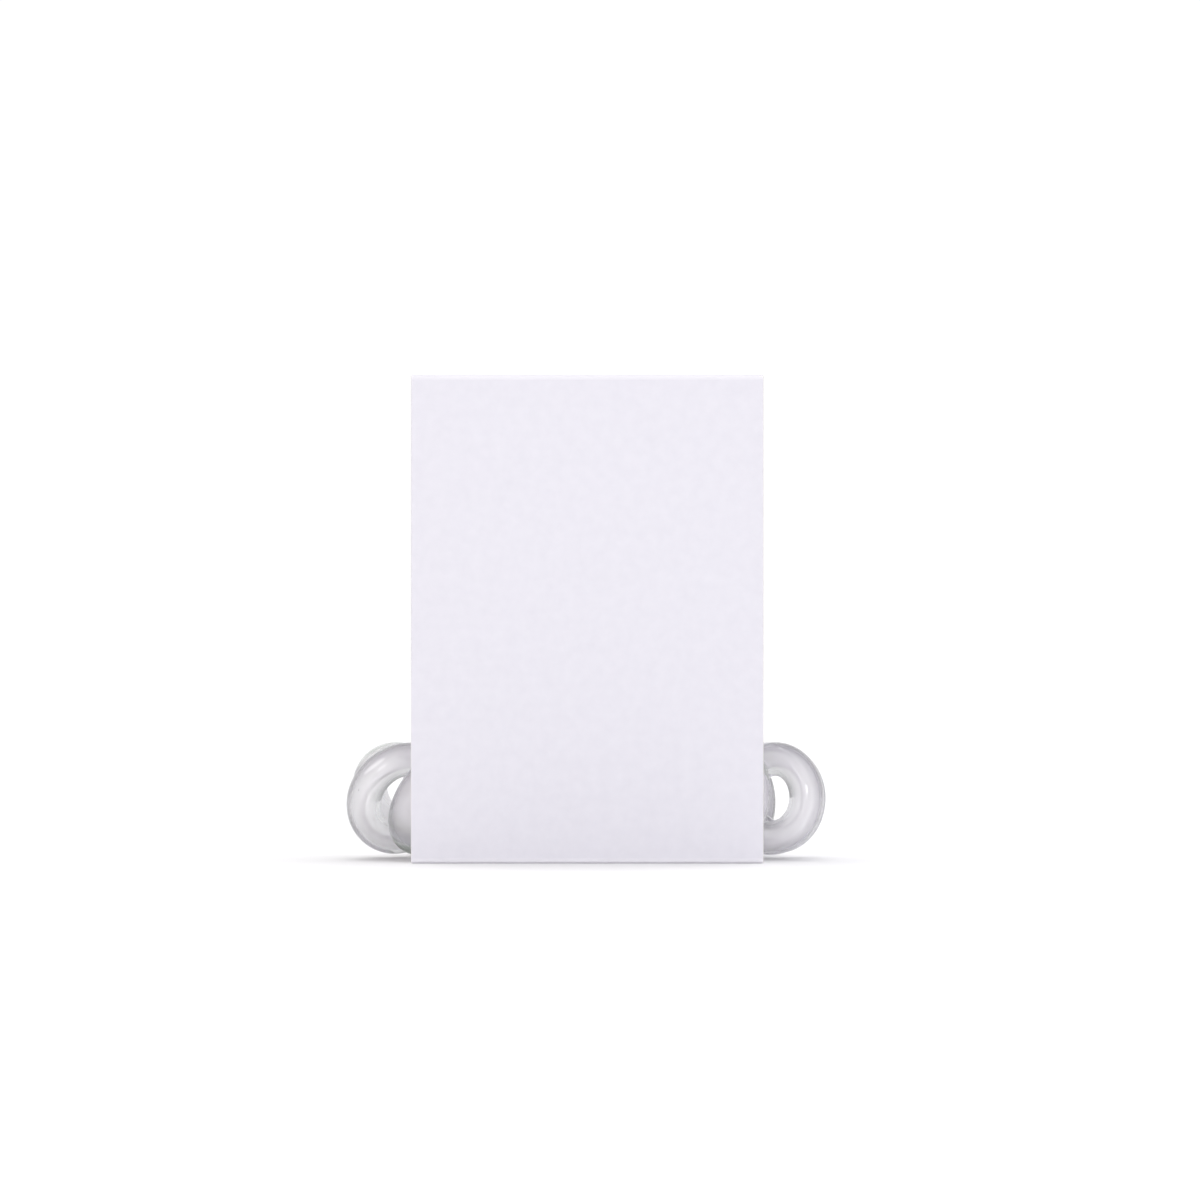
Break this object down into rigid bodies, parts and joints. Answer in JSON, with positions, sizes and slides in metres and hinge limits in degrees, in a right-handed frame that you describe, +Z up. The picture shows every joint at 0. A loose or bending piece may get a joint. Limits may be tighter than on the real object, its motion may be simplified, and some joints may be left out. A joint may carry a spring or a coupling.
{
  "type": "spiral hair tie in a card sleeve",
  "caption": "Clear spiral hair tie, one closed cord coiled round an oval ring, resting in a plain white card sleeve that is open at both sides.",
  "frame": {"origin": "under the middle of the sleeve, on the surface that it stands on", "axes": "+Z is up; -Y is the front, the sleeve's face in the picture; the sleeve is open along X, at its left and right"},
  "size_m": [0.0379, 0.0324, 0.0377],
  "materials": {
    "clear_tpu": "gloss",
    "white_card": "matte"
  },
  "bodies": {
    "root": {"spiral_tie": "clear_tpu", "card_sleeve": "white_card"}
  },
  "joints": []
}
